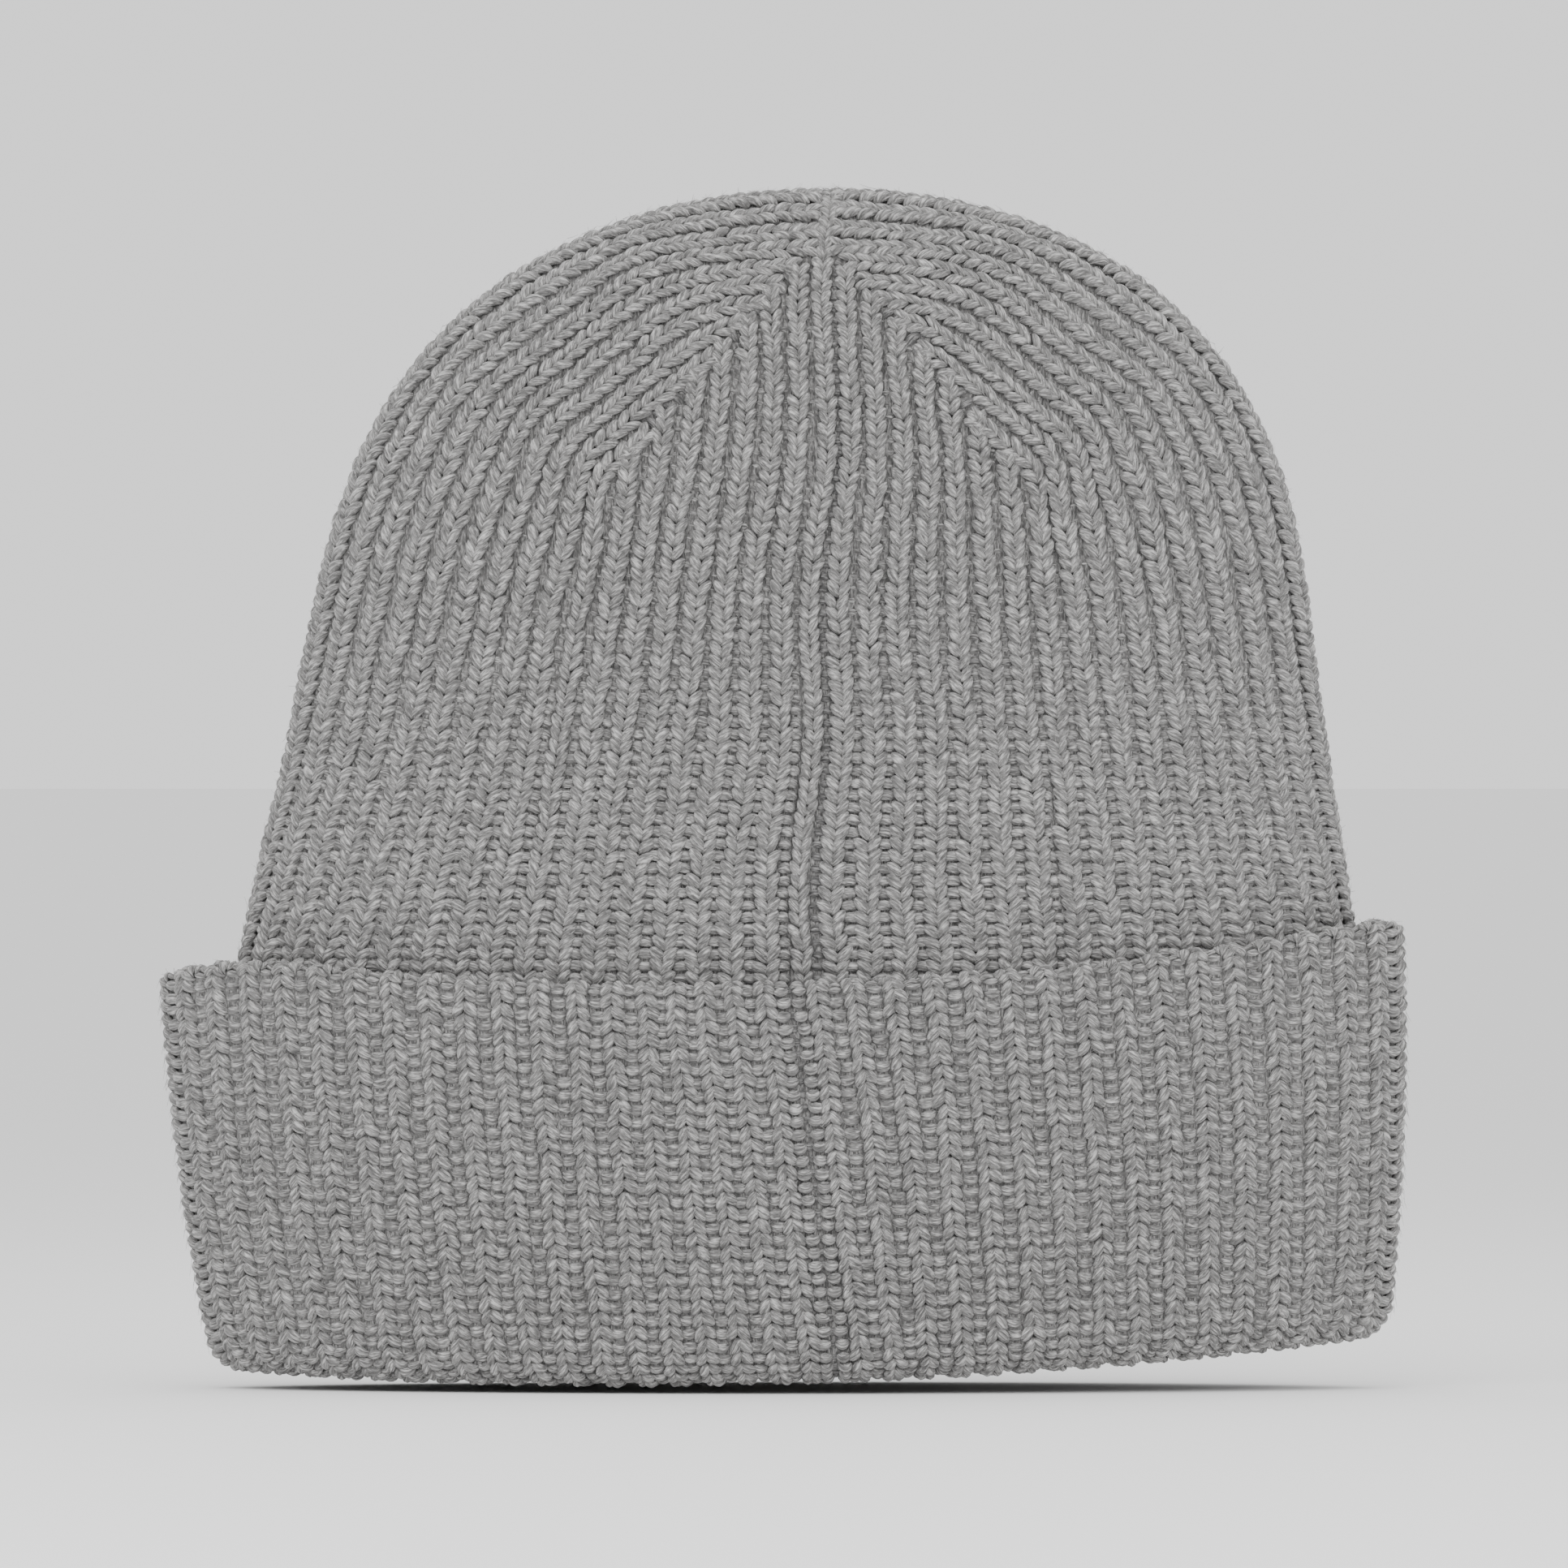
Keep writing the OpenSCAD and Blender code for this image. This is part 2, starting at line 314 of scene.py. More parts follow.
def lines_across():
    """The lines across the side fabric, from the outline to the middle gore. A line is level low down.
    It turns until it is square to the outline at the darts' foot, and stays square. Gives the lines' two
    ends, the number of the first square line, its direction out of the hat and its length."""
    edge, inward = outline()
    gap = np.linalg.norm(edge - np.array([DART_REACH, DART_BASE]), axis=1)
    square = int(np.argmin(gap))
    drop = smooth(TILT_FROM, edge[square, 1], LEVELS) * (edge[square, 1] - DART_BASE)
    gore_edge = lay_on_sections(np.array([GORE_RIBS]))[:, 0]
    ends = edge + gap[square] * inward
    low_z = LEVELS[:square + 1] - drop[:square + 1]
    ends[:square + 1] = np.stack([np.interp(low_z, LEVELS, gore_edge), low_z], axis=1)
    return edge, ends, square, -inward[square], gap[square]


def side_shares(ribs, z):
    """Where ribs lie between the side edge and the middle gore at a height, as shares of that stretch."""
    length = section_arc(z)[1][-1]
    from_edge = length - spread(np.append(ribs, GORE_RIBS), length, rib_pitch(z))
    return from_edge[:-1] / max(from_edge[-1], 1e-6)


def lay_beside_darts(ribs):
    """x and z of the ribs between the outline and the middle gore, on each level's line across."""
    edge, ends, square, slope, gap = lines_across()
    even = smooth(EVEN_FROM, edge[square, 1], LEVELS)
    bent = smooth(edge[square, 1] - TURN_BELOW, edge[square, 1] + TURN_ABOVE, LEVELS)
    from_edge = FACE - ribs
    across = np.linspace(0, 1, 160)[:, None] ** 2
    out = np.zeros((len(LEVELS), len(ribs), 2))
    for k, level in enumerate(LEVELS):
        line = edge[k] + across * (ends[k] - edge[k])
        y = depth_at(line[:, 0] + middle(line[:, 1]), line[:, 1])
        arc = along_line(np.column_stack([line, STRETCH * y]))
        share = side_shares(ribs, level)
        share += even[k] * (from_edge / (FACE - GORE_RIBS) - share)
        place = np.interp(share * arc[-1], arc, across[:, 0])
        if bent[k] > 0:
            turned = np.interp(from_edge, ribs_from_edge(line, edge, slope, square, gap), across[:, 0])
            place += bent[k] * smooth(0, TURN_RIBS, from_edge) * (turned - place)
        out[k] = edge[k] + place[:, None] * (ends[k] - edge[k])
    return out


def ribs_from_edge(points, edge, slope, square, gap):
    """How many ribs lie between the outline and points of the crown. Ribs run straight up a slope, then
    turn and run nearly level to the crown's middle."""
    sloped = (edge[square] @ slope - points @ slope) / (gap / (FACE - GORE_RIBS))
    upward = unit(np.array([LEVEL_SLOPE, 1.0]))
    flat = ((edge @ upward).max() - points @ upward) / TOP_PITCH
    counted = -np.log(np.exp(-TURN_SHARPNESS * sloped) + np.exp(-TURN_SHARPNESS * flat)) / TURN_SHARPNESS
    return np.maximum.accumulate(counted)


def along_line(points):
    """Distance of each point from the first one, along the line through them."""
    return np.concatenate([[0], np.cumsum(np.linalg.norm(np.diff(points, axis=0), axis=1))])


def wale_points(rib, x, z):
    """Points of one wale up the hat, from its places on the right half of a face, and where it ends at a
    dart or the crown's seam. rib counts round the hat from the middle of the seam's face."""
    side, face = math.copysign(1, rib), 1 if abs(rib) > FACE else -1
    if from_middle(rib) < GORE_RIBS:
        within = x < dart_half(z) + GORE_OVERLAP
    else:
        within = x > dart_half(z) - SIDE_OVERLAP
    keep = (z < DART_BASE) | within
    last = len(x) if keep.all() else int(np.argmin(keep))
    x = middle(z) + side * x
    return np.stack([x, face * depth_at(x, z), z], axis=1), last


def lay_wales(ribs):
    """Points of each wale and the width of its rib at each of them."""
    wanted = np.concatenate([from_middle(ribs), np.abs(from_middle(ribs) - 0.5)])
    straight, beside = lay_on_sections(wanted), lay_beside_darts(wanted)
    for k, rib in enumerate(ribs):
        in_gore = from_middle(rib) < GORE_RIBS
        lines = []
        for place in (k, k + len(ribs)):
            x, z = (straight[:, place], LEVELS) if in_gore else beside[:, place].T
            lines.append(wale_points(rib, x, z))
        (points, last), (beside_it, _) = lines
        width = 2 * np.linalg.norm(points - beside_it, axis=1)
        yield rib, points[:last], width[:last]


# ---------- the cuff's surface ----------

def cuff_swell(z):
    """Share of the cuff's flare that it has at a height."""
    return np.sin(math.pi / 2 * np.clip(z / CUFF_H, 0, 1)) ** 0.8


def cuff_rise(x, z):
    """How far the cuff's bow, tilt and soft rim lift it, less the droop of its left corner."""
    bow = FOLD_BOW + (RIM_BOW - FOLD_BOW) * z / CUFF_H
    droop = CORNER_DROOP * np.clip((-x - DROOP_FROM) / (WIDEST - DROOP_FROM), 0, 1) ** 2 * z / CUFF_H
    return bow * x * x + CUFF_TILT * x - droop + RIM_LIFT * np.maximum(z, 0) / CUFF_H


def cuff_point(rib, z, inset):
    """A point of the cuff. rib counts round it, z is the height before the cuff's bow and tilt."""
    wide = FOLD_W / 2 + CUFF_FLARE_W / 2 * cuff_swell(z)
    deep = BODY_HALF_D + KNIT_T + FOLD_GAP + CUFF_FLARE_D / 2 * cuff_swell(z)
    turn = cuff_turn(rib)
    x = CUFF_MID + CUFF_DRIFT * z + (wide - inset) * np.sin(turn)
    y = -(deep - inset) * section_depth(turn)
    in_corner = np.clip(1 - wide * (1 - np.abs(np.sin(turn))) / CORNER_W, 0, 1)
    round_off = CORNER_H * (1 - np.sqrt(1 - in_corner ** 2)) * smooth(CUFF_H - CORNER_REACH, CUFF_H, z)
    return np.stack([x, y, z + cuff_rise(x, z) - round_off], axis=-1)


def cuff_turn_table():
    """Turns of the cuff's section for ribs 0 to FACE, evened out along the fabric."""
    turn = np.linspace(0, math.pi / 2, 721)
    wide, deep = FOLD_W / 2 + CUFF_FLARE_W / 2, BODY_HALF_D + KNIT_T + FOLD_GAP
    arc = along_line(np.column_stack([wide * np.sin(turn), STRETCH * deep * section_depth(turn)]))
    ribs = np.linspace(0, FACE, 400)
    pitch = min(CUFF_PITCH, arc[-1] / FACE)
    return ribs, np.interp(spread(ribs, arc[-1], pitch), arc, turn)


CUFF_RIBS, CUFF_TURNS = cuff_turn_table()


def cuff_turn(rib):
    """The section's turn of a rib, for ribs of any sign round the whole cuff."""
    turn = np.interp(from_middle(rib), CUFF_RIBS, CUFF_TURNS)
    return np.sign(around(rib)) * np.where(np.abs(around(rib)) > FACE, math.pi - turn, turn)


def cuff_profile():
    """The cuff's outer face as inset and height: over the rim, down the outside and round the fold."""
    half, bend = KNIT_T / 2, KNIT_T + FOLD_GAP / 2
    over = np.linspace(math.radians(-10), math.pi / 2, 14, endpoint=False)
    down = np.linspace(CUFF_H - half, bend, 60, endpoint=False)
    under = np.linspace(0, math.pi, 40)
    rim = [(half * (1 + math.cos(a)), CUFF_H - half + half * math.sin(a)) for a in over]
    rim += [(half * (1 - math.cos(a)), CUFF_H - half + half * math.sin(a)) for a in over[::-1] if a > 0]
    outside = [(0.0, z) for z in down]
    fold = [(bend - bend * math.cos(a), bend - bend * math.sin(a)) for a in under]
    inside = [(2 * bend, z) for z in np.linspace(bend, FOLD_H - 0.6, 5)[1:]]
    return np.array(rim + outside + fold + inside)


def cuff_skew(rib):
    """Ribs that a wale drifts per mm of height. Wales lean most at the seam, and less to its right."""
    rib = around(rib)
    past_seam = 1 - 0.35 * smooth(1, 6, rib)
    return CUFF_SKEW * smooth(-5, 1, rib) * past_seam * (1 - smooth(8, 24, rib))


def cuff_wale(rib):
    """Points, normals and plain heights of one wale, from the cuff's rim down and round its fold, with
    its ribs' width and how much the cloth curves away beside it."""
    inset, z = cuff_profile().T
    ribs = rib + cuff_skew(rib) * np.maximum(z, 0)

    def beside(shift):
        return cuff_point(ribs + shift, z, inset), cuff_point(ribs - shift, z, inset)

    points = cuff_point(ribs, z, inset)
    right, left = beside(0.05)
    width = np.linalg.norm(right - left, axis=1) / 0.1
    normals = unit(np.cross(np.gradient(points, axis=0), right - left))
    chord = sum(beside(0.35)) / 2 - points
    bend = np.sum(chord * normals, axis=1) / (0.35 * width) ** 2
    return points, normals, z, width, bend


# ---------- stitches ----------

class Template:
    """One short length of yarn, as a tube with closed ends. Columns of verts: across in mm, up in rows,
    out in mm. coords holds the place along and round the yarn, for the material."""

    def __init__(self, path, wide, thick, sides, row_h, twist=0.35):
        line = np.array(path, float) * [1, row_h, 1]
        along = unit(np.gradient(line, axis=0))
        side = unit(np.cross(along, np.broadcast_to([0, 0, 1.0], line.shape)))
        out = np.cross(side, along)
        angle = 2 * math.pi * np.arange(sides) / sides - math.pi / 2
        ring = (line[:, None] + wide[:, None, None] * np.cos(angle)[None, :, None] * side[:, None]
                + thick[:, None, None] * np.sin(angle)[None, :, None] * out[:, None])
        length = along_line(line)
        round_it = (angle[None, :] + math.pi / 2) * wide.max() + twist * length[:, None]
        coords = np.stack([np.broadcast_to(length[:, None], round_it.shape), round_it], axis=-1)
        tips = line[[0, -1]] + along[[0, -1]] * np.array([[-0.5], [0.5]]) * wide[[0, -1], None]
        self.verts = np.concatenate([ring.reshape(-1, 3), tips]) / [1, row_h, 1]
        self.coords = np.concatenate([coords.reshape(-1, 2), coords[[0, -1], 0]])
        faces = self.tube_faces(len(line), sides)
        self.loops = np.array([v for f in faces for v in f], np.int32)
        self.totals = np.array([len(f) for f in faces], np.int32)

    @staticmethod
    def tube_faces(rings, sides):
        """Faces of a tube of rings, and the fans that close it at its two tips."""
        faces = []
        for r in range(rings - 1):
            for s in range(sides):
                a, b = r * sides + s, r * sides + (s + 1) % sides
                faces.append([a, b, b + sides, a + sides])
        first_tip, last_tip, last_ring = rings * sides, rings * sides + 1, (rings - 1) * sides
        for a in range(sides):
            b = (a + 1) % sides
            faces.append([b, a, first_tip])
            faces.append([a + last_ring, b + last_ring, last_tip])
        return faces


def plump(count, ends):
    """Thickness along a length of yarn, full in the middle and drawn in to ends."""
    t = np.linspace(0, 1, count)
    return ends + (1 - ends) * np.sin(math.pi * t) ** 0.6


def knit_leg(inner, outer, rise, girth, sides, row_h, rings=8):
    """One leg of a knit stitch, from its foot at the middle of the wale to its head at the side. inner
    and outer are its reach in mm, negative for a left leg. rise is in rows."""
    t = np.linspace(0, 1, rings)
    across = inner + (outer - inner) * t
    up = 0.5 + rise * (t - 0.5)
    out = -1.0 - 1.0 * np.abs(2 * t - 1) ** 2.4
    size = plump(len(t), 0.5)
    return Template(np.stack([across, up, out], axis=1), girth * size, 0.95 * girth * size, sides, row_h,
                    twist=0.35 * math.copysign(1, outer))


def purl_bump(width, depth, sides, row_h, size):
    """The bump of a purl stitch, lying across its wale."""
    t = np.linspace(-1, 1, 8)
    path = np.stack([t * width / 2, 0.55 - 0.16 * t ** 2, -depth - 0.8 * t ** 2], axis=1)
    fat = plump(len(t), 0.45) * size
    return Template(path, fat, 0.85 * fat, sides, row_h, twist=0.2)


def loose_fibre(turn, length, row_h):
    """A loose fibre that leaves the yarn and lies over it, turned this far from straight across."""
    t = np.linspace(0, 1, 3)
    reach = length * (t - 0.5)
    up = 0.5 + reach * math.sin(turn) / row_h
    path = np.stack([reach * math.cos(turn), up, -0.4 + 0.75 * t ** 1.5], axis=1)
    thin = FIBRE_R * np.array([1, 0.9, 0.4])
    return Template(path, thin, thin, 3, row_h, twist=0.0)


def interp_rows(x, xs, rows):
    return np.stack([np.interp(x, xs, rows[:, k]) for k in range(rows.shape[1])], axis=1)


class Cloth:
    """Stitches collected for one piece."""

    def __init__(self):
        self.verts, self.loops, self.totals, self.coords = [], [], [], []
        self.count = 0

    def add(self, verts, coords, template):
        copies, size = verts.shape[:2]
        offsets = self.count + size * np.arange(copies, dtype=np.int32)
        self.verts.append(verts.reshape(-1, 3))
        self.coords.append(coords.reshape(-1, 3))
        self.loops.append((template.loops[None] + offsets[:, None]).ravel())
        self.totals.append(np.tile(template.totals, copies))
        self.count += copies * size


class Wale:
    """The line that a column of stitches follows: its points, outward normals and distances along it.
    widths says how much wider than drawn its stitches are at each point, and bends how far the cloth
    curves away beside it, per mm squared."""

    def __init__(self, points, normals, widths=1.0, bends=0.0):
        self.points, self.normals = points, normals
        self.arc = along_line(points)
        self.ups = unit(np.gradient(points, axis=0))
        self.widths = np.broadcast_to(widths, self.arc.shape)
        self.bends = np.broadcast_to(bends, self.arc.shape)

    def at(self, distance, values):
        """Values of the wale's points, between them."""
        if values.ndim == 1:
            return np.interp(distance, self.arc, values)
        return interp_rows(distance, self.arc, values)

    def moved(self, sideways=0.0, out=0.0):
        """The same wale moved to its right and outwards, by mm at each point or all along."""
        sideways, out = (np.broadcast_to(shift, self.arc.shape)[:, None] for shift in (sideways, out))
        right = unit(np.cross(self.ups, self.normals))
        points = self.points + sideways * right + out * self.normals
        return Wale(points, self.normals, self.widths, self.bends)


def loosened(wale, middles, heights, template, loose):
    """A template's places across, up and out for each stitch of a column, each a little different."""
    grow, tip, nudge, lift, taller = (
        amount * loose * rng.standard_normal((len(middles), 1)) for amount in LOOSENESS)
    across = template.verts[None, :, 0] * (1 + grow) * wale.at(middles, wale.widths)[:, None]
    up = template.verts[None, :, 1] * heights[:, None] * (1 + taller)
    bend = np.clip(wale.at(middles, wale.bends)[:, None] * across ** 2, -DEEPEST_BEND, 0)
    out = template.verts[None, :, 2] * (1 + 0.5 * grow) + lift + bend
    turned = across * np.cos(tip) - up * np.sin(tip) + nudge
    return turned, across * np.sin(tip) + up * np.cos(tip), out


def laid_on(wale, starts, across, up, out):
    """Points of stitches on the hat, from their places across, up and out of their wale."""
    place = (starts[:, None] + up).ravel()
    past_ends = place - np.clip(place, 0, wale.arc[-1])
    ups, outs = unit(wale.at(place, wale.ups)), unit(wale.at(place, wale.normals))
    rights = unit(np.cross(ups, outs))
    verts = (wale.at(place, wale.points) + past_ends[:, None] * ups + across.reshape(-1, 1) * rights
             + out.reshape(-1, 1) * outs)
    return verts.reshape(len(starts), -1, 3)


def stitch_column(wale, starts, heights, template, names, loose=1.0):
    """Lays a template at each start along a wale, and adds each copy to the piece it is named for. loose
    scales how much the copies differ from each other."""
    count = len(starts)
    if count == 0:
        return
    verts = laid_on(wale, starts, *loosened(wale, starts + heights / 2, heights, template, loose))
    coords = np.zeros_like(verts)
    coords[..., :2] = template.coords[None] + rng.uniform(-40, 40, (count, 1, 2))
    coords[..., 2] = rng.uniform(0, 1, (count, 1))
    names = np.broadcast_to(names, count)
    for name in np.unique(names):
        CLOTHS.setdefault(str(name), Cloth()).add(verts[names == name], coords[names == name], template)


CLOTHS = {}                  # stitches of each piece, by its name
SIDES = 8                    # sides of the yarn where it is seen
FEW = 6                      # and where it lies deep or hidden
LEG_R = knit_leg(0.05, 1.86, 1.28, 0.95, SIDES, ROW_H)
LEG_L = knit_leg(0.10, -1.90, 1.00, 1.03, SIDES, ROW_H)
BRIM_LEGS = (knit_leg(-0.02, -2.30, 1.25, 1.02, FEW, ROW_H, 5),
             knit_leg(0.05, 2.25, 1.60, 0.93, FEW, ROW_H, 5))
INSIDE_LEGS = (knit_leg(0.10, -2.02, 1.05, 1.05, FEW, ROW_H, 5),
               knit_leg(0.05, 2.00, 1.35, 0.97, FEW, ROW_H, 5))
CUFF_LEG_R = knit_leg(0.10, 1.65, 1.08, 0.98, SIDES, CUFF_ROW_H)
CUFF_LEG_L = knit_leg(0.05, -1.70, 0.90, 1.04, SIDES, CUFF_ROW_H)
FIBRES = [loose_fibre(math.radians(degrees), length, ROW_H)
          for degrees, length in ((15, 2.6), (70, 3.2), (115, 2.4), (160, 3.4))]
BODY_BUMP = purl_bump(3.0, 2.15, FEW, ROW_H, 1.02)
CUFF_BUMP = purl_bump(2.9, 1.55, SIDES, CUFF_ROW_H, 1.02)
SEAM_BAR = purl_bump(2.6, 2.1, FEW, ROW_H, 0.8)
DART_BAR = purl_bump(3.4, 1.6, FEW, ROW_H, 0.85)
CUFF_SEAM_BUMP = purl_bump(2.1, 0.95, SIDES, CUFF_ROW_H, 1.08)
CUFF_SEAM_BAR = purl_bump(2.0, 1.9, FEW, CUFF_ROW_H, 0.8)


def wander(arc, size, seed):
    """A slow sideways drift along a wale."""
    phase = np.random.default_rng(seed).uniform(0, 2 * math.pi, 2)
    return size * (np.sin(arc / 9.0 + phase[0]) + 0.6 * np.sin(arc / 3.7 + phase[1]))


def sway(rib, z):
    """The slow waves that wales beside the back seam share."""
    near = math.exp(-((rib - SEAM_RIB) / 5) ** 2)
    return near * (0.75 * np.sin(z / 8.5 + 0.6) + 0.35 * np.sin(z / 23)) * smooth(CUFF_H, CUFF_H + 12, z)


def rows_between(first, last, height):
    """Starts and heights of a whole number of rows between two distances."""
    count = max(0, int(round((last - first) / height)))
    if count == 0:
        return np.zeros(0), np.zeros(0)
    step = (last - first) / count
    return first + step * np.arange(count), np.full(count, step)


def body_rows(points, row_h):
    """Rows of a wale: level with each other up to the dome, then row_h tall to the wale's end."""
    arc = along_line(points)
    marks = np.full(3, arc[-1])
    marks[0] = 0
    if points[-1, 2] > LEVEL_ROWS_TO:
        marks = np.interp([FOLD_H, CUFF_H, LEVEL_ROWS_TO], points[:, 2], arc)
    starts, heights = [], []
    for first, last, count in zip(marks, marks[1:], (BRIM_ROWS, WALL_ROWS)):
        step = (last - first) / count
        starts.append(first + step * np.arange(count))
        heights.append(np.full(count, step))
    more, tall = rows_between(marks[2], arc[-1], row_h)
    return np.concatenate(starts + [more]), np.concatenate(heights + [tall])


def quarter(rib):
    """Names of the face and the side of the hat that a rib is on."""
    face = "front" if abs(around(rib)) > FACE else "back"
    return face, "right" if around(rib) > 0 else "left"


def zone(rib):
    """Names the part of its quarter that a rib is on, to keep pieces from growing too large."""
    return "middle" if from_middle(rib) < FACE / 2 else "side"


def body_names(rib, z, inside=False):
    """Names of the pieces that a rib's stitches belong to, by their heights."""
    face, side = quarter(rib)
    if from_middle(rib) > GORE_RIBS:
        gore = f"{side}_gore_{face}"
    elif face == "front":
        gore = "front_gore"
    else:
        gore = "back_gore_" + ("right" if rib > SEAM_RIB else "left")
    brim, wall = f"brim_inner_layer_{face}_{side}", f"body_wall_{face}_{side}"
    if inside:
        brim, wall, gore = brim + "_inside", wall + "_inside", gore + "_inside"
    else:
        wall += "_" + zone(rib)
    return np.where(z < CUFF_H - 0.5, brim, np.where(z < DART_BASE, wall, gore))


def knit_body():
    """Lays the stitches of every wale of the body, knit ribs first."""
    knit = [k + KNIT_PHASE for k in range(-RIBS // 2, RIBS // 2)]
    purl = [k + 0.5 for k in knit]
    ribs = around(np.array(knit + purl))
    for k, (rib, points, widths) in enumerate(lay_wales(ribs)):
        wale = Wale(points, hat_normal(*points.T), np.clip(widths / PLAIN_PITCH, 0.8, 1.9))
        starts, heights = body_rows(points, GORE_ROW_H if from_middle(rib) < GORE_RIBS else CROWN_ROW_H)
        foot = FOLD_H + 0.8 + FOLD_BOW * points[0, 0] ** 2 + CUFF_TILT * points[0, 0]
        above = wale.at(starts, points[:, 2]) > foot
        sideways = wander(wale.arc, BODY_WANDER, k) + sway(rib, points[:, 2]) + seam_pull(rib)
        knit_body_wale(rib, k < RIBS, wale.moved(sideways), starts[above], heights[above])


def knit_body_wale(rib, is_knit, wale, starts, heights):
    """Stitches of one wale of the body, outside and inside, and its loose fibres."""
    z = wale.at(starts + heights / 2, wale.points[:, 2])
    names = body_names(rib, z)
    shown = z > CUFF_H - HIDDEN_BELOW
    if is_knit:
        for legs, rows in ((BRIM_LEGS, ~shown), ((LEG_L, LEG_R), shown)):
            for leg in legs:
                stitch_column(wale, starts[rows], heights[rows], leg, names[rows])
        fuzz(wale, starts[shown], heights[shown], names[shown])
    elif abs(rib - SEAM_RIB) < 0.1:
        stitch_column(wale, starts, heights, SEAM_BAR, "back_seam", 0.5)
    else:
        out = PURL_LOW_OUT - (PURL_LOW_OUT + PURL_HIGH_IN) * smooth(*PURL_SINKS, wale.points[:, 2])
        stitch_column(wale.moved(out=out), starts + PURL_RISE, heights, BODY_BUMP, names)
        knit_inside(rib, wale, starts, heights)


def knit_inside(rib, wale, starts, heights):
    """The inner face of the rib knit, where what is a purl rib outside is a knit rib. It stops where the
    two faces of the hat come too close to each other."""
    inner = Wale(wale.points - KNIT_T * wale.normals, -wale.normals, wale.widths)
    x, y, z = wale.at(starts + heights / 2, inner.points).T
    across, out = (x - middle(z)) / half_w(z, KNIT_T), np.abs(y) / half_d(z, KNIT_T)
    on_face = np.abs(across ** 2 + out ** (2 / SECTION_POWER) - 1) < 0.25
    inner_starts = wale.at(starts, inner.arc)
    names = body_names(rib, z, True)
    for leg in INSIDE_LEGS:
        stitch_column(inner, inner_starts[on_face], heights[on_face], leg, names[on_face])


def fuzz(wale, starts, heights, names):
    """Loose fibres that lie over the stitches and stand off them a little."""
    for fibre in FIBRES:
        rows = rng.random(len(starts)) < FUZZ_SHARE
        stitch_column(wale, starts[rows], heights[rows], fibre, names[rows], 3.0)


def knit_darts():
    """Short bars of yarn that close the darts, and the seam over the top between them."""
    meet = APEX_H - 3
    z = np.linspace(DART_BASE - 1, meet, 60)
    for face, face_name in ((-1, "back"), (1, "front")):
        for side, side_name in ((-1, "left"), (1, "right")):
            x = middle(z) + side * dart_half(z)
            sew(np.stack([x, face * depth_at(x, z), z], axis=1), face_name + "_dart_seam_" + side_name)
    up = meet + (HAT_H - 0.01 - meet) * (1 - np.linspace(1, 0, 60) ** 2)
    over = np.concatenate([up, up[-2::-1]])
    face = np.where(np.arange(len(over)) < len(up), -1, 1)
    x = middle(over)
    sew(np.stack([x, face * depth_at(x, over), over], axis=1), "crown_seam")


def sew(points, piece):
    """Lays the bars of a seam along a line of the hat's surface."""
    wale = Wale(points, hat_normal(*points.T))
    starts, heights = rows_between(0.0, wale.arc[-1], ROW_H)
    stitch_column(wale, starts, heights, DART_BAR, piece)


def seam_pull(rib):
    """How far a knit rib beside the back seam stands off it, to its right."""
    gap = rib - SEAM_RIB
    return SEAM_OPEN * math.copysign(1, gap) if 0 < abs(gap) < 0.6 else 0.0


def cuff_names(rib, z):
    """Names of the pieces that a rib's stitches on the cuff belong to, by their heights."""
    face, side = quarter(rib)
    band = f"cuff_band_{face}_{side}_{zone(rib)}"
    return np.where(z > CUFF_H - RIM_H, "cuff_rim", np.where(z < FOLD_H, "cuff_fold_" + face, band))


def knit_cuff():
    """Lays the stitches of every wale of the cuff. Its seam takes the place of the first purl rib."""
    for k in range(RIBS):
        purl = CUFF_SEAM_RIB + k
        knit_cuff_column(purl + 0.5, CUFF_SEED + 2 * k, (CUFF_LEG_L, CUFF_LEG_R), 0.6)
        if k > 0:
            knit_cuff_column(purl, CUFF_SEED + 1 + 2 * k, (CUFF_BUMP,), 1.2)
            continue
        knit_cuff_column(purl, CUFF_SEAM_SEED, (CUFF_SEAM_BAR,), 1.0, "cuff_seam")
        knit_cuff_column(purl - CUFF_SEAM_SIDES, CUFF_SEAM_SEED + 1, (CUFF_SEAM_BUMP,), 1.2)
        knit_cuff_column(purl + CUFF_SEAM_SIDES, CUFF_SEAM_SEED + 2, (CUFF_SEAM_BUMP,), 1.2)


def knit_cuff_column(rib, seed, templates, first, piece=None):
    """Knits one wale of the cuff, from first down its line. Wales stand wider apart beside the seam."""
    gap = around(rib - CUFF_SEAM_RIB)
    if abs(gap) > 0.3:
        rib += CUFF_SEAM_PUSH * math.copysign(1, gap) * math.exp(-(abs(gap) - 0.5) / CUFF_SEAM_FADE)
    points, normals, levels, widths, bends = cuff_wale(rib)
    wale = Wale(points, normals, np.clip(widths / CUFF_PITCH, 0.85, 1.3), bends)
    starts, heights = rows_between(first, wale.arc[-1] - 0.4, CUFF_ROW_H)
    z = wale.at(starts + heights / 2, levels)
    names = cuff_names(rib, z) if piece is None else np.full(len(starts), piece)
    wale = wale.moved(wander(wale.arc, CUFF_WANDER, seed))
    if CUFF_BUMP in templates:
        at_edge = math.exp(-((FACE - from_middle(rib)) / EDGE_RIBS) ** 2)
        wale = wale.moved(out=EDGE_LIFT * at_edge)
        wale.widths = wale.widths * (1 + EDGE_WIDER * at_edge)
    for template in templates:
        stitch_column(wale, starts, heights, template, names)
    if CUFF_LEG_L in templates:
        shown = z > FOLD_H / 2
        fuzz(wale, starts[shown], heights[shown], names[shown])


# ---------- materials ----------

def value(node, name, amount):
    node.inputs[name].default_value = amount


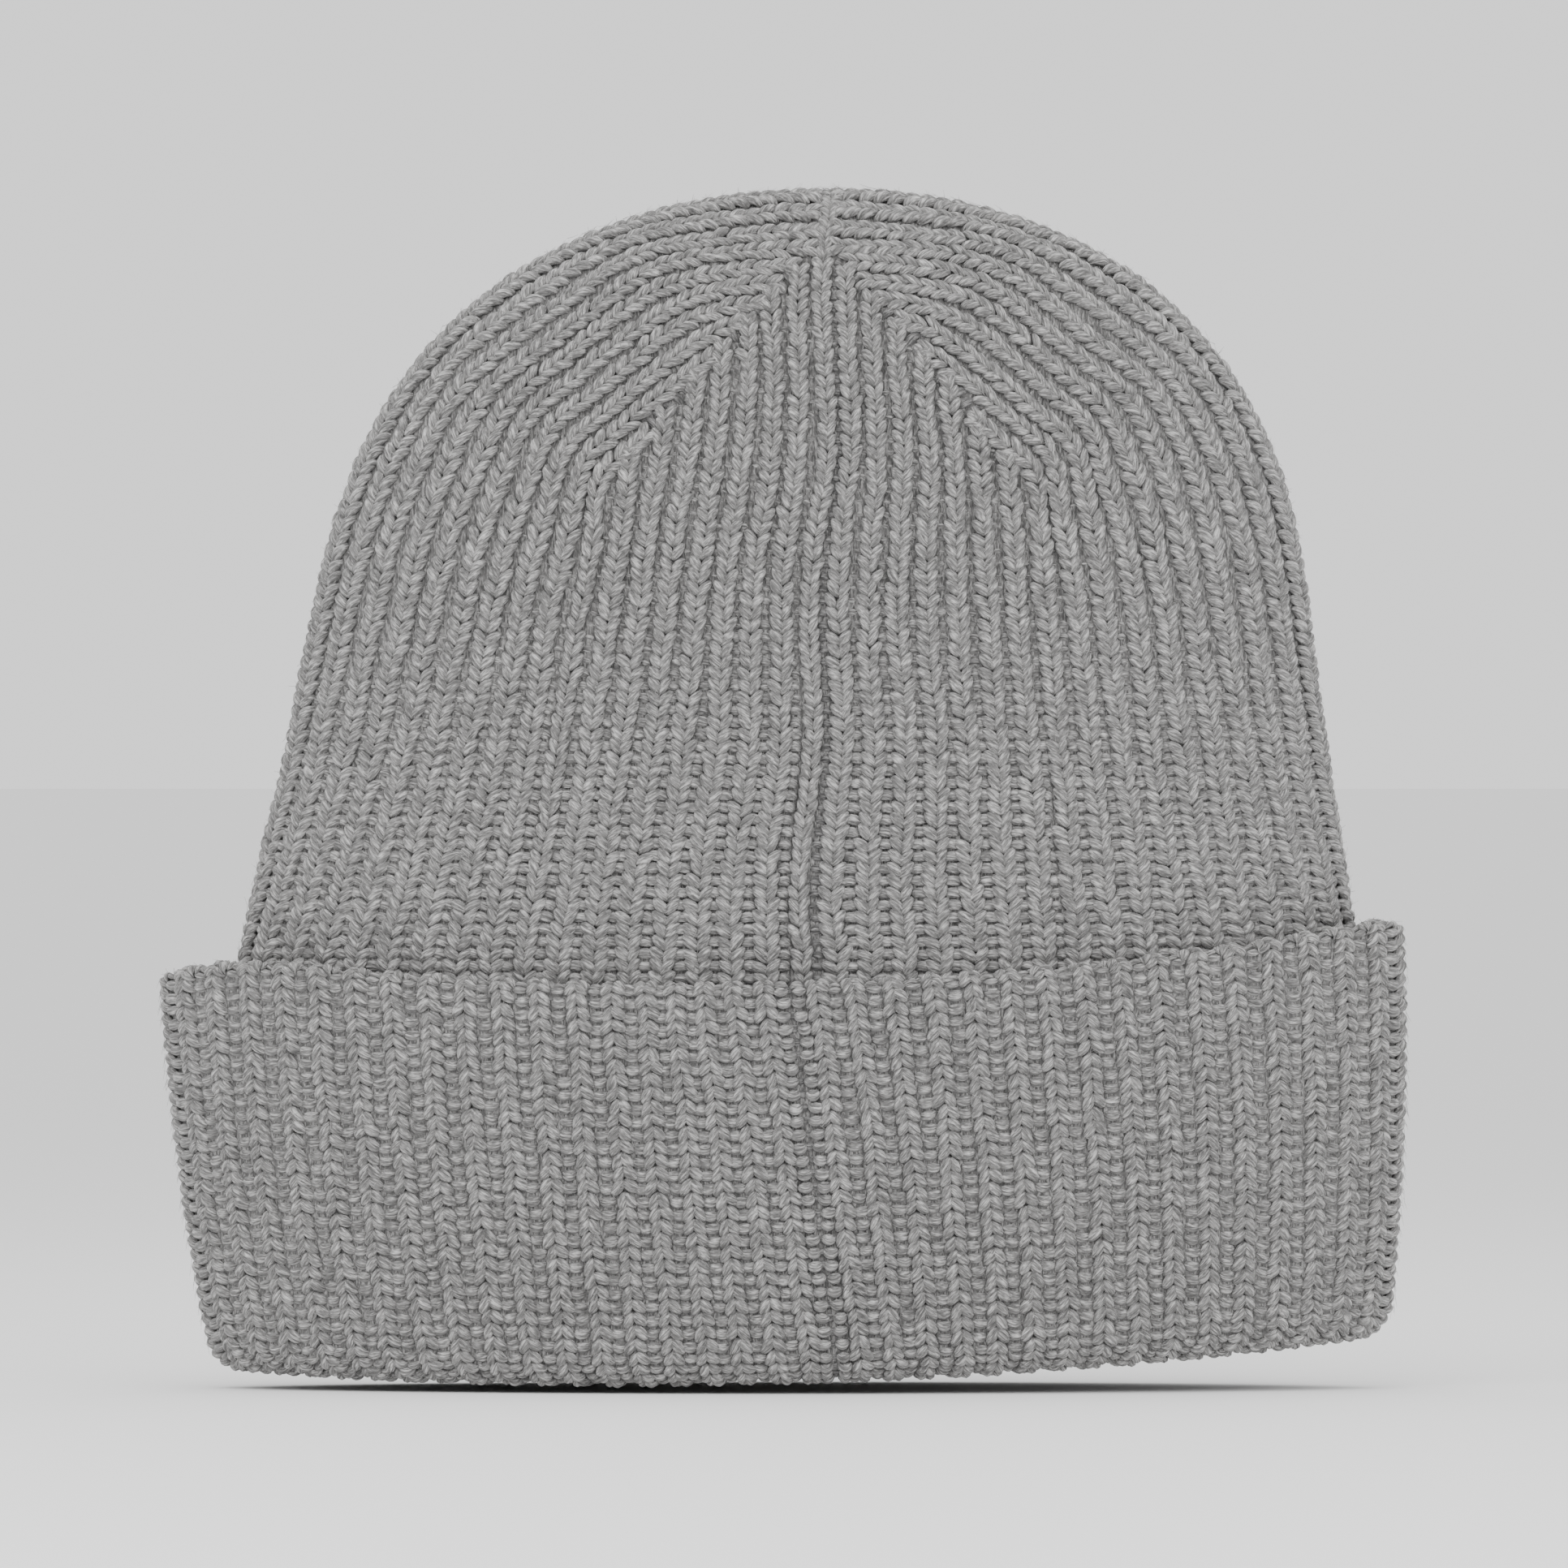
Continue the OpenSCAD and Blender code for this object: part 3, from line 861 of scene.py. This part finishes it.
def stretched_noise(mat, yarn, scale, detail):
    """Noise drawn out along the yarn. scale is along, round and across stitches, per mm."""
    nodes, link = mat.node_tree.nodes, mat.node_tree.links.new
    stretch = nodes.new("ShaderNodeMapping")
    stretch.inputs["Scale"].default_value = scale
    link(yarn.outputs["Vector"], stretch.inputs["Vector"])
    noise = nodes.new("ShaderNodeTexNoise")
    value(noise, "Scale", 1.0)
    value(noise, "Detail", detail)
    value(noise, "Roughness", 0.55)
    value(noise, "Distortion", 0.5)
    link(stretch.outputs["Vector"], noise.inputs["Vector"])
    return noise


# Melange wool: where in the noise its dark, middle and light fibres lie, and how bright they are
MELANGE = ((0.38, 0.30), (0.50, 0.70), (0.62, 1.65))


def melange(mat, colour, noise):
    """The colours of the wool's fibres, chosen by noise."""
    ramp = mat.node_tree.nodes.new("ShaderNodeValToRGB")
    stops = ramp.color_ramp.elements
    stops.new(0.5)
    for stop, (position, light) in zip(stops, MELANGE):
        stop.position = position
        stop.color = [min(1, c * light) for c in colour] + [1]
    mat.node_tree.links.new(noise, ramp.inputs["Fac"])
    return ramp.outputs["Color"]


def vary_by_stitch(mat, yarn, colour):
    """Makes some stitches a little lighter than others."""
    nodes, link = mat.node_tree.nodes, mat.node_tree.links.new
    split = nodes.new("ShaderNodeSeparateXYZ")
    link(yarn.outputs["Vector"], split.inputs["Vector"])
    tone = nodes.new("ShaderNodeMapRange")
    value(tone, "To Min", 0.88)
    value(tone, "To Max", 1.12)
    link(split.outputs["Z"], tone.inputs["Value"])
    tint = nodes.new("ShaderNodeMix")
    tint.data_type = "RGBA"
    tint.blend_type = "MULTIPLY"
    value(tint, "Factor", 1.0)
    link(colour, tint.inputs["A"])
    link(tone.outputs["Result"], tint.inputs["B"])
    return tint.outputs["Result"]


def wool(name, colour):
    """Melange wool: yarn of light and dark fibres, twisted along the stitch, matt with a soft sheen."""
    mat = bpy.data.materials.new(name)
    mat.use_nodes = True
    nodes, link = mat.node_tree.nodes, mat.node_tree.links.new
    shader = nodes["Principled BSDF"]
    value(shader, "Roughness", 0.92)
    value(shader, "Specular IOR Level", 0.25)
    value(shader, "Sheen Weight", 0.25)
    value(shader, "Sheen Roughness", 0.45)
    yarn = nodes.new("ShaderNodeAttribute")
    yarn.attribute_name = "yarn"
    strands = stretched_noise(mat, yarn, (0.6, 1.9, 0), 2.0)
    fibres = stretched_noise(mat, yarn, (1.3, 4.8, 0), 3.0)
    blend = nodes.new("ShaderNodeMix")
    value(blend, "Factor", 0.45)
    link(strands.outputs["Fac"], blend.inputs["A"])
    link(fibres.outputs["Fac"], blend.inputs["B"])
    noise = blend.outputs["Result"]
    link(vary_by_stitch(mat, yarn, melange(mat, colour, noise)), shader.inputs["Base Color"])
    bump = nodes.new("ShaderNodeBump")
    value(bump, "Strength", 0.9)
    value(bump, "Distance", 0.0006)
    link(noise, bump.inputs["Height"])
    link(bump.outputs["Normal"], shader.inputs["Normal"])
    return mat


def plain(name, colour, rough):
    """A material of one colour."""
    mat = bpy.data.materials.new(name)
    mat.use_nodes = True
    shader = mat.node_tree.nodes["Principled BSDF"]
    value(shader, "Base Color", (*colour, 1))
    value(shader, "Roughness", rough)
    return mat


# ---------- pieces ----------

def make_mesh(name, verts, loops, totals, coords):
    """A smooth mesh of verts in mm. coords are each vert's place on its yarn, for the material."""
    mesh = bpy.data.meshes.new(name)
    mesh.vertices.add(len(verts))
    mesh.vertices.foreach_set("co", (verts * MM).astype(np.float32).ravel())
    mesh.loops.add(len(loops))
    mesh.loops.foreach_set("vertex_index", loops.astype(np.int32))
    mesh.polygons.add(len(totals))
    starts = np.concatenate([[0], np.cumsum(totals)[:-1]])
    mesh.polygons.foreach_set("loop_start", starts.astype(np.int32))
    mesh.polygons.foreach_set("use_smooth", np.ones(len(totals), bool))
    layer = mesh.attributes.new("yarn", "FLOAT_VECTOR", "POINT")
    layer.data.foreach_set("vector", coords.astype(np.float32).ravel())
    mesh.update(calc_edges=True)
    obj = bpy.data.objects.new(name, mesh)
    bpy.context.scene.collection.objects.link(obj)
    return obj


def mesh_of_quads(name, verts, faces, coords):
    """The same from rows of four vert numbers."""
    return make_mesh(name, verts, faces.ravel(), np.full(len(faces), 4), coords)


def knot_line():
    """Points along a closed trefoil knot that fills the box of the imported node."""
    box_low, box_high = np.array(low("crown_knot")), np.array(high("crown_knot"))
    turn = np.linspace(0, 2 * math.pi, KNOT_RINGS, endpoint=False)
    x, y = np.sin(turn) + 2 * np.sin(2 * turn), np.cos(turn) - 2 * np.cos(2 * turn)
    line = np.stack([x, y, -np.sin(3 * turn)], axis=1)
    reach = (box_high - box_low) / 2 - KNOT_R
    return line / np.abs(line).max(axis=0) * reach + (box_low + box_high) / 2


def crown_knot():
    """The tied end of the yarn inside the crown's top."""
    line = knot_line()
    along = unit(np.roll(line, -1, axis=0) - np.roll(line, 1, axis=0))
    side = unit(np.cross(along, [0.0, 0.0, 1.0]))
    out = np.cross(side, along)
    angle = 2 * math.pi * np.arange(SIDES) / SIDES
    ring = np.cos(angle)[None, :, None] * side[:, None] + np.sin(angle)[None, :, None] * out[:, None]
    verts = (line[:, None] + KNOT_R * ring).reshape(-1, 3)
    r, c = np.meshgrid(np.arange(KNOT_RINGS), np.arange(SIDES), indexing="ij")
    a, b = r * SIDES + c, r * SIDES + (c + 1) % SIDES
    faces = np.stack([b, a, (a + SIDES) % len(verts), (b + SIDES) % len(verts)], axis=-1).reshape(-1, 4)
    length, round_it = np.repeat(along_line(line), SIDES), np.tile(angle * KNOT_R, KNOT_RINGS)
    coords = np.stack([length, round_it, np.full(len(verts), 0.5)], axis=1)
    return mesh_of_quads("crown_knot_yarn", verts, faces, coords)


def finish_piece(obj, material, body, nodes=()):
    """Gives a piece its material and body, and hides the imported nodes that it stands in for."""
    obj.data.materials.append(material)
    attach(obj, body)
    if nodes:
        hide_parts(*nodes)
    return obj


def grid_shell(name, outer, inner):
    """A thin closed sheet of cloth between two grids of points, rows first, that run round the hat."""
    rows, cols = outer.shape[:2]
    count = rows * cols
    r, c = np.meshgrid(np.arange(rows - 1), np.arange(cols), indexing="ij")
    a, b = r * cols + c, r * cols + (c + 1) % cols
    front = np.stack([a, b, b + cols, a + cols], axis=-1).reshape(-1, 4)
    foot, foot_next = np.arange(cols), (np.arange(cols) + 1) % cols
    top, top_next = foot + count - cols, foot_next + count - cols
    faces = np.concatenate([
        front,
        front[:, ::-1] + count,
        np.stack([foot + count, foot_next + count, foot_next, foot], axis=1),
        np.stack([top, top_next, top_next + count, top + count], axis=1),
    ])
    verts = np.concatenate([outer.reshape(-1, 3), inner.reshape(-1, 3)])
    return mesh_of_quads(name, verts, faces, verts[:, [2, 0, 1]])


def body_cloth():
    """The back of the knit, between the body's stitches and those of its inner face. It takes darkened
    wool, as painted shade in the gaps between stitches.
    """
    turn = np.linspace(0, 2 * math.pi, 4 * RIBS, endpoint=False)[None]
    levels = levels_up(CLOTH_FOOT, 50, 60, 1.6)[:, None]

    def face(inset):
        z = np.minimum(levels - inset * smooth(DOME_START, HAT_H, levels), HAT_H - inset - 0.01)
        x = middle(z) + half_w(z, inset) * np.sin(turn)
        y = -half_d(z, inset) * section_depth(turn)
        lift = (FOLD_BOW * x ** 2 + CUFF_TILT * x) * (1 - smooth(FOLD_H, CUFF_H, levels))
        return np.stack([x, y, z + lift], axis=-1)

    return grid_shell("body_cloth", *(face(depth) for depth in CLOTH_DEPTHS))


def cuff_cloth():
    """The same for the cuff, round its rim and fold. It leaves out the two ends of the profile, which
    lie inside the hat. The profile runs down, so the deeper face is the sheet's first."""
    profile = cuff_profile()[8:-2]
    along = unit(np.gradient(profile, axis=0))
    ribs = np.linspace(-2 * FACE, 2 * FACE, 4 * RIBS, endpoint=False)[None]

    def face(depth):
        inset, z = (profile + depth * np.stack([-along[:, 1], along[:, 0]], axis=1)).T
        return cuff_point(ribs, z[:, None], inset[:, None])

    return grid_shell("cuff_cloth", *(face(depth) for depth in reversed(CUFF_CLOTH_DEPTHS)))


KNITTED = (
    "body_wall", "brim_inner_layer", "back_gore_left", "back_gore_right", "front_gore", "left_gore",
    "right_gore", "back_seam", "back_dart_seam_left", "back_dart_seam_right", "front_dart_seam_left",
    "front_dart_seam_right", "crown_seam", "cuff_band", "cuff_fold", "cuff_rim", "cuff_seam",
)


def node_of(name):
    """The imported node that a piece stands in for."""
    return next(node for node in KNITTED if name.startswith(node))


def build():
    """Makes every piece. Gives the stitched pieces of each body, and the two cloths behind them."""
    colours = {m["slot"]: m["base_color"][:3] for m in frame["record"]["materials"]}
    looks = {slot: wool(slot, colour) for slot, colour in colours.items()}
    knit_body()
    knit_darts()
    knit_cuff()
    stitched = {"crown": [], "cuff": []}
    for name, cloth in sorted(CLOTHS.items()):
        node = node_of(name)
        body = "cuff" if node.startswith("cuff") else "crown"
        slot = "seam_yarn" if "seam" in node else "cuff_knit" if body == "cuff" else "body_knit"
        obj = make_mesh(name + "_yarn", np.concatenate(cloth.verts), np.concatenate(cloth.loops),
                        np.concatenate(cloth.totals), np.concatenate(cloth.coords))
        stitched[body].append(finish_piece(obj, looks[slot], body, [node]))
    knot = finish_piece(crown_knot(), looks["seam_yarn"], "crown", ["crown_knot"])
    stitched["crown"].append(knot)
    # the cloths behind the stitches take the body's wool darkened: painted shade seen through the gaps
    # between stitches
    dark = wool("cloth_back", [c * CLOTH_PAINTED_SHADE for c in colours["body_knit"]])
    body_back = finish_piece(body_cloth(), dark, "crown")
    cuff_back = finish_piece(cuff_cloth(), dark, "cuff")
    return stitched, body_back, cuff_back


# ---------- the studio and the camera ----------


CAMERA_LENS = 400            # long, because the photograph shows hardly any perspective
SENSOR_W = 36
VIEW_W = 282.7               # width of the picture at the hat's middle plane
AIM_X = -2.3
AIM_Z = 107.4
FLOOR_HALF = 400             # in metres, so that its edge is never near
FLOOR_DROP = 0.001
LAMP_W = 1.2
LAMPS = (                    # name, place in metres, watts
    ("key", (-0.45, -1.1, 0.8), 9),
    ("fill", (0.7, -1.1, 0.3), 7),
    ("top", (0, 0.1, 1.2), 6),
)


def lay_floor():
    """A pale floor just below the hat."""
    z = cad_low[2] - FLOOR_DROP
    mesh = bpy.data.meshes.new("floor")
    corners = [(x * FLOOR_HALF, y * FLOOR_HALF, z) for x, y in ((-1, -1), (1, -1), (1, 1), (-1, 1))]
    mesh.from_pydata(corners, [], [(0, 1, 2, 3)])
    mesh.materials.append(plain("floor", (0.88, 0.88, 0.88), 0.9))
    floor = bpy.data.objects.new("floor", mesh)
    bpy.context.scene.collection.objects.link(floor)


def light_studio():
    """Even white light from all round, and three large soft lamps that aim at the hat's middle."""
    world = bpy.data.worlds.new("studio")
    bpy.context.scene.world = world
    world.use_nodes = True
    value(world.node_tree.nodes["Background"], "Color", (1, 1, 1, 1))
    value(world.node_tree.nodes["Background"], "Strength", 1.25)
    for name, place, watts in LAMPS:
        light = bpy.data.lights.new(name, "AREA")
        light.energy, light.size = watts, LAMP_W
        lamp = bpy.data.objects.new(name, light)
        lamp.location = place
        lamp.rotation_euler = (Vector((0, 0, 0.1)) - lamp.location).to_track_quat("-Z", "Y").to_euler()
        bpy.context.scene.collection.objects.link(lamp)


def camera():
    """The photograph's view: level, straight at the seam's face, the hat a little right of centre."""
    data = bpy.data.cameras.new("camera")
    data.sensor_width = SENSOR_W
    data.lens = CAMERA_LENS
    cam = bpy.data.objects.new("camera", data)
    cam.location = (AIM_X * MM, -CAMERA_LENS / SENSOR_W * VIEW_W * MM, AIM_Z * MM)
    cam.rotation_euler = (math.pi / 2, 0, 0)
    bpy.context.scene.collection.objects.link(cam)
    bpy.context.scene.camera = cam


stitched, body_back, cuff_back = build()
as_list(stitched["crown"])
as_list(stitched["cuff"])
lay_floor()
light_studio()
camera()
